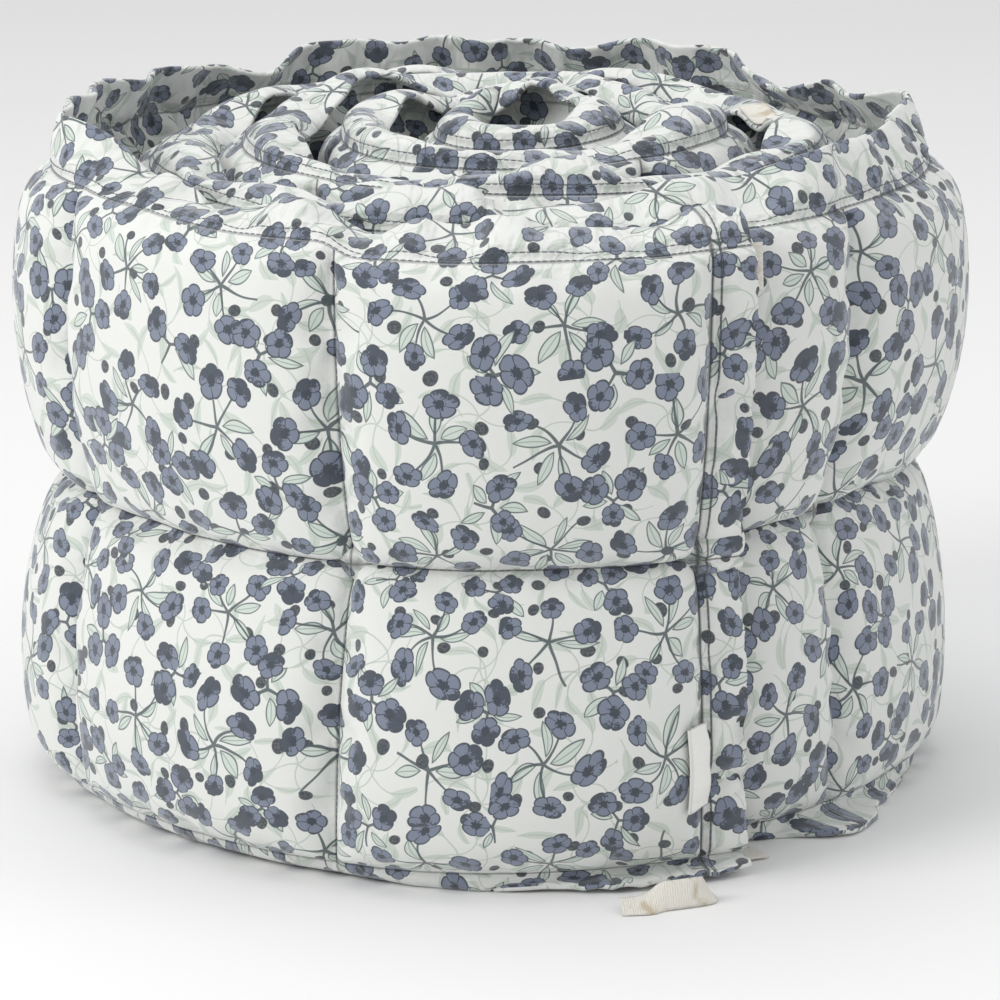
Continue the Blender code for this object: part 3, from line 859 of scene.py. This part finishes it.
class Wire:
    """An output of a material's nodes.  Arithmetic on it adds a math node and gives its output."""

    def __init__(self, finish, socket):
        self.finish = finish
        self.socket = socket

    def __rsub__(self, other):
        return self.finish.math("SUBTRACT", other, self)

    __add__ = operation("ADD")
    __sub__ = operation("SUBTRACT")
    __mul__ = operation("MULTIPLY")
    __truediv__ = operation("DIVIDE")
    __mod__ = operation("FLOORED_MODULO")
    __abs__ = operation("ABSOLUTE")
    __lt__ = operation("LESS_THAN")
    __gt__ = operation("GREATER_THAN")


class Finish:
    """A material under construction: short calls add nodes and link what they are given."""

    def __init__(self, name):
        self.material = bpy.data.materials.new(name)
        self.material.use_nodes = True
        self.tree = self.material.node_tree
        self.shader = self.tree.nodes["Principled BSDF"]

    def feed(self, socket, value):
        if isinstance(value, Wire):
            self.tree.links.new(value.socket, socket)
        else:
            socket.default_value = value

    def node(self, kind, values, **settings):
        """Adds a node with these settings, feeds its inputs, and gives all its outputs."""
        node = self.tree.nodes.new("ShaderNode" + kind)
        for name, setting in settings.items():
            setattr(node, name, setting)
        for place, value in values.items():
            self.feed(node.inputs[place], value)
        return [Wire(self, socket) for socket in node.outputs]

    def math(self, kind, a, b=0.0):
        return self.node("Math", {0: a, 1: b}, operation=kind)[0]

    def most(self, first, *others):
        for other in others:
            first = self.math("MAXIMUM", first, other)
        return first

    def least(self, first, *others):
        for other in others:
            first = self.math("MINIMUM", first, other)
        return first

    def distance(self, x, y):
        return self.math("SQRT", x * x + y * y)

    def vector(self, kind, a, b=(0, 0, 0)):
        return self.node("VectorMath", {0: a, 1: b}, operation=kind)[0]

    def scaled(self, vector, scale):
        return self.node("VectorMath", {0: vector, "Scale": scale}, operation="SCALE")[0]

    def split(self, vector):
        return self.node("SeparateXYZ", {0: vector})

    def join(self, x, y, z=0.0):
        return self.node("CombineXYZ", {0: x, 1: y, 2: z})[0]

    def ramp(self, value, low, high):
        """0 below low, 1 above high, straight between; low may be the larger."""
        return self.node("MapRange", {"Value": value, "From Min": low, "From Max": high})[0]

    def mix(self, share, under, over):
        under, over = (c if isinstance(c, Wire) else (*c, 1) for c in (under, over))
        return self.node("Mix", {"Factor": share, 6: under, 7: over}, data_type="RGBA")[2]

    def noise(self, vector, scale, detail=2.0):
        return self.node("TexNoise", {"Vector": vector, "Scale": scale, "Detail": detail})[0]

    def chance(self, vector):
        """Three random numbers for a whole-number place."""
        return self.split(self.node("TexWhiteNoise", {"Vector": vector}, noise_dimensions="3D")[1])

    def cloth_place(self):
        """The place on the flat cloth, in mm."""
        return self.scaled(self.node("UVMap", {}, uv_map="cloth")[0], MM)

    def bump(self, height, distance, under=None):
        values = {"Height": height, "Distance": distance}
        if under is not None:
            values["Normal"] = under
        return self.node("Bump", values)[0]

    def surface(self, colour, normal, levels):
        """Feeds the shader, sets its other inputs by name, and gives the finished material."""
        self.feed(self.shader.inputs["Base Color"], colour)
        self.feed(self.shader.inputs["Normal"], normal)
        for name, level in levels.items():
            self.shader.inputs[name].default_value = level
        return self.material


# The cloth's colours
GROUND = (0.755, 0.762, 0.742)
SHADED_GROUND = (0.680, 0.710, 0.675)
PETAL = (0.196, 0.226, 0.298)
SLATE = (0.036, 0.046, 0.059)
LEAF = (0.585, 0.660, 0.605)
LINE = (0.075, 0.103, 0.112)
STEM = (0.070, 0.094, 0.104)
PALE_LEAF = (0.535, 0.600, 0.540)
PALE_STEM = (0.420, 0.485, 0.425)
# painted shade, mixed into the seams' grooves, along the end seam and into the pit where four cells meet
CREASE_SHADE = (0.075, 0.082, 0.090)

# The print's layers, back to front, each a lattice of motifs: the side of its square, its shift
# as a share of that, and a number that picks its random draws
GHOSTS = ((47.0, (0.31, 0.12), 3.0), (39.0, (0.77, 0.61), 9.0))
DOTS = (19.0, (0.2, 0.4), 31.0)
SPRIGS = (  # then stems and their reaches, leaves and their lengths
    (49.0, (0.0, 0.0), 13.0, 5, (14.0, 20.5), 6, (10.0, 16.0)),
    (49.0, (0.5, 0.5), 21.0, 3, (6.0, 10.5), 5, (9.0, 15.0)),
)
PRINT_BEND = (0.035, 9.0)  # scale and size of the noise that bends the lattices
SPRIG_JITTER = 6.0  # how far a motif strays in its square
GHOST_JITTER = 10.0
DOT_JITTER = 0.55  # as a share of its square
STEM_CURL = 0.045  # how much a stem turns, for each mm out
STEM_HALF = (0.43, 0.26)  # half width of a stem, and what it has more at its root
LEAF_START = 3.0  # mm from the sprig's middle
LEAF_HALF = (1.7, 0.9)  # half width of a leaf, and its spread
LEAVES_GROWN = 0.62  # share of the leaves that are there
BLOSSOM_RADIUS = (5.0, 1.6)  # and its spread
BLOSSOMS_LEFT_OUT = 0.06
DOT_RADIUS = (2.2, 0.7)
DOTS_KEPT = 0.85
GHOST_STEM = 22.0  # length
GHOST_LEAF = 11.0  # length


def lattice(m, place, size, shift, jitter, salt):
    """A square lattice of motifs: the place seen from the motif's own middle, which is shifted at
    random in its square, and three random numbers for the square."""
    square = m.vector("ADD", m.scaled(place, 1.0 / size), (*shift, 0))
    number = m.vector("ADD", m.vector("FLOOR", square), (0, 0, salt))
    x, y, _ = m.split(m.vector("SUBTRACT", m.vector("FRACTION", square), (0.5, 0.5, 0)))
    luck = m.chance(number)
    x = x - (luck[0] - 0.5) * (jitter / size)
    y = y - (luck[1] - 0.5) * (jitter / size)
    return x * size, y * size, luck, number


def arms(m, angle, radius, count, offset, number, salt, swing):
    """Folds the plane into equal sectors: how far along and beside its sector's arm a place
    lies, and three random numbers for the arm."""
    turn = (angle * (count / (2 * math.pi)) + offset) % float(count)
    arm = m.math("FLOOR", turn)
    luck = m.chance(m.vector("ADD", number, m.join(arm, arm * 3.7, salt)))
    phi = (m.math("FRACT", turn) - 0.5) * (2 * math.pi / count) + (luck[0] - 0.5) * swing
    return radius * m.math("COSINE", phi), radius * m.math("SINE", phi), luck


def leaf_shape(along, beside, start, length, width):
    """How far inside a pointed leaf a place lies, in mm: the width grows and falls as a parabola
    along the leaf."""
    share = (along - start) / length
    return share * (1.0 - share) * 4.0 * width - abs(beside)


def leaves(m, angle, radius, number, salt, under, count, lengths):
    """Pointed leaves round a sprig's middle, each with its outline and rib, some left out."""
    along, beside, mood = arms(m, angle, radius, count, 0.5, number, salt, 0.35)
    length = mood[1] * (lengths[1] - lengths[0]) + lengths[0]
    inside = leaf_shape(along, beside, LEAF_START, length, mood[2] * LEAF_HALF[1] + LEAF_HALF[0])
    grown = mood[0] < LEAVES_GROWN
    leaf = m.ramp(inside, -0.1, 0.1) * grown
    outline = m.ramp(abs(inside - 0.15), 0.36, 0.22) * grown
    rib = m.ramp(abs(beside), 0.26, 0.12) * leaf
    return m.mix(m.most(outline, rib * 0.6) * 0.85, m.mix(leaf, under, LEAF), LINE)


def blossom(m, ahead, beside, mood, shade, under, grain):
    """A flower of five petals: a dark heart, dark lines round and between the petals, and a
    shaded side with a grainy border."""
    radius = mood[2] * BLOSSOM_RADIUS[1] + BLOSSOM_RADIUS[0]
    x, y = ahead / radius, beside / radius
    wide = m.distance(x, y)
    fold = abs(m.math("SINE", mood[1] * 40.0 + m.math("ARCTAN2", y, x) * 2.5))
    rim = wide / (m.math("SQRT", fold) * 0.20 + 0.84)
    inside = m.ramp(rim, 1.02, 0.97) * (mood[0] > BLOSSOMS_LEFT_OUT)
    heart = m.ramp((grain - 0.5) * 0.7 + wide, 0.36, 0.30)
    crease = m.ramp(fold, 0.17, 0.09) * m.ramp(wide, 0.98, 0.90)
    shaded = m.ramp((grain - 0.5) * 1.3 + x - shade, -0.12, 0.02) * 0.9
    dark = m.most(heart, shaded, m.ramp(rim, 0.86, 0.93), crease) * 0.9
    return m.mix(inside, under, m.mix(dark, PETAL, SLATE))


def sprig(m, place, under, grain, size, shift, salt, stems, reaches, leaf_count, leaf_lengths):
    """A layer of sprigs: curved stems from a middle with a blossom at the end of each and pointed
    leaves between, printed over the colour under it."""
    x, y, luck, number = lattice(m, place, size, shift, SPRIG_JITTER, salt)
    radius = m.distance(x, y)
    curl = (luck[2] - 0.5) * STEM_CURL
    angle = luck[0] * 17.0 + (radius * curl + m.math("ARCTAN2", y, x))
    colour = leaves(m, angle, radius, number, salt + 5.0, under, leaf_count, leaf_lengths)
    along, beside, mood = arms(m, angle, radius, stems, 0.0, number, salt, 0.5)
    reach = mood[1] * (reaches[1] - reaches[0]) + reaches[0]
    half = m.ramp(along, 9.0, 0.0) * STEM_HALF[1] + STEM_HALF[0]
    stem = m.ramp(abs(beside) - half, 0.12, -0.12) * (along < reach) * (along > 0.0)
    colour = m.mix(stem * 0.92, colour, STEM)
    return blossom(m, along - reach, beside, mood, luck[1], colour, grain)


def ghost_sprig(m, place, under, size, shift, salt):
    """A pale layer behind: long thin curved stems with small leaves."""
    x, y, luck, number = lattice(m, place, size, shift, GHOST_JITTER, salt)
    radius = m.distance(x, y)
    angle = luck[2] * 23.0 + (radius * STEM_CURL + m.math("ARCTAN2", y, x))
    along, beside, mood = arms(m, angle, radius, 5, 0.0, number, salt, 0.4)
    leaf = leaf_shape(along, beside, mood[1] * 8.0 + 7.0, GHOST_LEAF, mood[2] * 1.6 + 1.5)
    stem = m.ramp(abs(beside), 0.42, 0.22) * (along < GHOST_STEM)
    colour = m.mix(m.ramp(leaf, -0.2, 0.2) * 0.8, under, PALE_LEAF)
    return m.mix(stem * 0.65, colour, PALE_STEM)


def dots(m, place, under, grain, size, shift, salt):
    """Small dark dots, one to a square of the lattice and some left out."""
    x, y, luck, _ = lattice(m, place, size, shift, size * DOT_JITTER, salt)
    outside = m.distance(x, y) - (luck[2] * DOT_RADIUS[1] + DOT_RADIUS[0])
    spot = m.ramp(outside, 0.15, -0.15) * (luck[1] < DOTS_KEPT)
    return m.mix(spot * (m.ramp(grain, 0.35, 0.6) * 0.10 + 0.88), under, SLATE)


def cotton_print(m, place):
    """The printed colour: a slightly cloudy ground, pale sprigs, dots and two layers of sprigs."""
    scale, size = PRINT_BEND
    bend = [m.noise(m.vector("ADD", place, apart), scale, 1.0) * size
            for apart in ((0, 0, 0), (310, 70, 0))]
    bent = m.vector("ADD", place, m.join(*bend))
    grain = m.noise(place, 0.9)
    colour = m.mix(m.noise(place, 0.05) * 0.5, GROUND, SHADED_GROUND)
    for layer in GHOSTS:
        colour = ghost_sprig(m, bent, colour, *layer)
    colour = dots(m, bent, colour, grain, *DOTS)
    for layer in SPRIGS:
        colour = sprig(m, bent, colour, grain, *layer)
    return colour


# Where each of these starts and where it is full, in mm from its seam, and the darkness of its painted
# shade or its height
# the seams' grooves: sunk in the bump, and darkened in the colour as painted shade
SEAM_GROOVE_AND_SHADE = (0.9, 0.1, 0.42)
# painted shade: a dark line along the end seam
END_SEAM_SHADE = (1.5, 0.4, 0.80)
PIT_SHADE = (5.5, 2.0, 0.65)  # painted shade in the pit where four cells meet
PINCH = (9.0, 0.5, 1.6)  # the small folds along a seam
HEM_FOLDS = (1.0, 7.0, 4.6)
PIT_ASIDE = 1.0  # how far beside the seam across the pit lies
RELIEF = 0.0009  # metres, for a height of 1
WEAVE = 0.00014


def printed_cotton():
    """Off-white cotton with a loose print: sprigs of blossom and pointed leaves over paler sprigs,
    and dots.  The weave, small folds and the seams' grooves are in the bump; the seams' grooves, the end
    seam and the pit where four cells meet are also darkened in the colour as painted shade."""
    m = Finish("printed_cotton")
    place = m.cloth_place()
    colour = cotton_print(m, place)
    along, up, _ = m.split(place)
    up = m.least(up, MM * (2 * sum(FLAT_ROWS) + FACE_GAP) - up)  # both faces count from the lower hem
    rows = [abs(up - MM * (FLOOR_HEM + row * FLAT_CELL[1])) for row in (0, 1, 2)]
    top_line = MM * (FLOOR_HEM + 2 * FLAT_CELL[1])
    second_row = abs(up - (top_line + MM * SECOND_ROW)) + 0.35
    cell = MM * FLAT_CELL[0]
    across = abs((along + cell / 2) % cell - cell / 2)
    across = m.most(across, (up > top_line) * 9.0)  # no seam crosses the top hem
    end_row = abs(along + MM * END_SECOND_ROW)
    seam = m.least(*rows, second_row, across, end_row + 0.2)
    groove_and_shade = m.ramp(seam, *SEAM_GROOVE_AND_SHADE[:2])
    groove_and_shade = groove_and_shade * groove_and_shade
    # painted shade: the seams' grooves darkened in the colour, where the same mask sinks them in the bump
    colour = m.mix(groove_and_shade * SEAM_GROOVE_AND_SHADE[2], colour, CREASE_SHADE)
    # painted shade: a dark line along the end seam and its second row of stitching
    end_seam_shade = m.most(m.ramp(abs(along - 0.3), *END_SEAM_SHADE[:2]), m.ramp(end_row, 0.55, 0.2) * 0.75)
    colour = m.mix(end_seam_shade * END_SEAM_SHADE[2], colour, CREASE_SHADE)
    # painted shade: the pit where four cells meet, darkened in the colour
    pit_shade = m.ramp(m.distance(across - PIT_ASIDE, rows[1]), *PIT_SHADE[:2])
    colour = m.mix(pit_shade * PIT_SHADE[2], colour, CREASE_SHADE)
    pinch = m.ramp(seam, *PINCH[:2]) * m.noise(place, 0.26, 1.0)
    hem = m.ramp(up, top_line + HEM_FOLDS[0], top_line + HEM_FOLDS[1])
    folds = m.noise(m.vector("MULTIPLY", place, (1.0, 0.5, 1.0)), 0.10)
    relief = pinch * PINCH[2] - groove_and_shade + hem * folds * HEM_FOLDS[2]
    normal = m.bump(m.noise(place, 2.6), WEAVE, m.bump(relief, RELIEF))
    return m.surface(colour, normal, {
        "Roughness": 0.78, "Sheen Weight": 0.52, "Sheen Roughness": 0.5, "Specular IOR Level": 0.35})


def cotton_tape():
    """Undyed tape: fine ribs across it, soft fuzz, and tan in patches."""
    m = Finish("cotton_tape")
    place = m.cloth_place()
    along = m.split(place)[0]
    rib = m.math("SINE", (along + m.noise(place, 0.5, 1.0)) * (2 * math.pi / TAPE_RIB))
    height = rib * 0.30 + m.noise(place, 2.2, 3.0)
    cream = m.mix(m.ramp(height, -0.5, 1.5), (0.74, 0.70, 0.61), (0.90, 0.885, 0.84))
    # tan laid in soft random patches by a noise
    tan_patches = m.ramp(m.noise(m.vector("MULTIPLY", place, (1.0, 0.6, 1.0)), 0.13), 0.53, 0.66)
    colour = m.mix(tan_patches * 0.7, cream, (0.52, 0.41, 0.25))
    return m.surface(colour, m.bump(height, 0.0004), {"Roughness": 0.9, "Sheen Weight": 0.25})


def label_tape():
    """Smooth woven label: fine ribs across it and a faint gloss."""
    m = Finish("label_tape")
    place = m.cloth_place()
    rib = m.math("SINE", m.split(place)[1] * (2 * math.pi / LABEL_RIB))
    cloud = m.noise(place, 0.8)
    colour = m.mix(cloud, (0.80, 0.80, 0.77), (0.86, 0.86, 0.83))
    return m.surface(colour, m.bump(rib * 0.3 + cloud, 0.0001), {"Roughness": 0.6, "Sheen Weight": 0.1})


def thread():
    """Polished sewing thread, grey blue, with its twist as a fine bump."""
    m = Finish("thread")
    place = Wire(m, m.tree.nodes.new("ShaderNodeTexCoord").outputs["Object"])
    twist = m.noise(m.scaled(place, MM), 1.6, 1.0)
    colour = m.mix(twist, (0.085, 0.105, 0.130), (0.19, 0.215, 0.25))
    return m.surface(colour, m.bump(twist, 0.0001), {"Roughness": 0.55})


# ---------------------------------------------------------------- the stage

LIGHTS = (  # name, place, aim, side, watts, colour
    ("key", (-2.0, -1.25, 1.6), (0, 0, 0.15), 1.2, 33, (1.0, 0.995, 0.98)),
    ("fill", (2.4, -0.3, 1.3), (0, 0, 0.15), 1.2, 7, (0.98, 0.99, 1.0)),
    ("top", (-0.2, 0.4, 2.4), (0, 0, 0.1), 1.6, 16, (1.0, 1.0, 1.0)),
)
SKY = 0.66
FLOOR_HALF = 6.0
FLOOR_COLOUR = (0.86, 0.86, 0.86)
CAMERA_PLACE = (0.0032, -2.3288, 0.725)
CAMERA_DIP = 0.2545  # radians below level
CAMERA_LENS = 197.64  # mm, on a sensor 36 mm wide


def soft_light(name, at, aim, side, power, colour):
    lamp = bpy.data.lights.new(name, "AREA")
    lamp.shape = "RECTANGLE"
    lamp.size = side
    lamp.size_y = side
    lamp.energy = power
    lamp.color = colour
    holder = link(name, lamp)
    holder.location = at
    holder.rotation_euler = (Vector(aim) - Vector(at)).to_track_quat("-Z", "Y").to_euler()


def stage():
    """A plain pale floor, a white sky, big soft lights and the photograph's camera."""
    half = FLOOR_HALF
    corners = [(-half, -half, 0), (half, -half, 0), (half, half, 0), (-half, half, 0)]
    mesh = bpy.data.meshes.new("floor")
    mesh.from_pydata(corners, [], [(0, 1, 2, 3)])
    floor = link("floor", mesh)
    paint = bpy.data.materials.new("pale_floor")
    paint.use_nodes = True
    shader = paint.node_tree.nodes["Principled BSDF"]
    shader.inputs["Base Color"].default_value = (*FLOOR_COLOUR, 1)
    shader.inputs["Roughness"].default_value = 0.9
    mesh.materials.append(paint)
    world = bpy.data.worlds.new("studio")
    world.use_nodes = True
    sky = world.node_tree.nodes["Background"]
    sky.inputs["Color"].default_value = (1.0, 1.0, 1.0, 1)
    sky.inputs["Strength"].default_value = SKY
    bpy.context.scene.world = world
    for light in LIGHTS:
        soft_light(*light)
    lens = bpy.data.cameras.new("camera")
    lens.sensor_width = 36
    lens.lens = CAMERA_LENS
    lens.clip_start = 0.1
    lens.clip_end = 50
    camera = link("camera", lens)
    camera.location = CAMERA_PLACE
    camera.rotation_euler = (math.pi / 2 - CAMERA_DIP, 0, 0)
    bpy.context.scene.camera = camera
    bpy.context.scene.view_settings.view_transform = "Standard"


def dress(piece, finish, slot, *nodes):
    """Gives a piece its finish, hangs it from the root, and hides the imported parts that it stands for."""
    piece.data.materials.append(finish)
    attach(piece, "root")
    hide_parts(*nodes)


def main():
    cotton, tape, label = printed_cotton(), cotton_tape(), label_tape()
    pads, whole = quilted_pad()
    for piece, (_, solid, _, _) in zip(pads, PAD_PIECES):
        dress(piece, cotton, "printed_cotton", solid)
    ties = [(name, *loose_tie(name, rows)) for name, rows in TIE_ROUTES.items()]
    ties.append(("tie_top_inner", *tie_on_the_roll(whole[1])))
    for name, piece, length in ties:
        piece.name = name + "_tape"
        dress(piece, tape, "cotton_tape", name)
        carrier = "pad_second_turn" if name == "tie_top_inner" else "pad_outer_front"
    panel = side_label(whole[0])
    panel.name = "side_label_panel"
    dress(panel, label, "label_tape", "side_label")
    threads = stitching("stitches", whole)
    threads.data.materials.append(thread())
    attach(threads, "root")
    stage()


main()
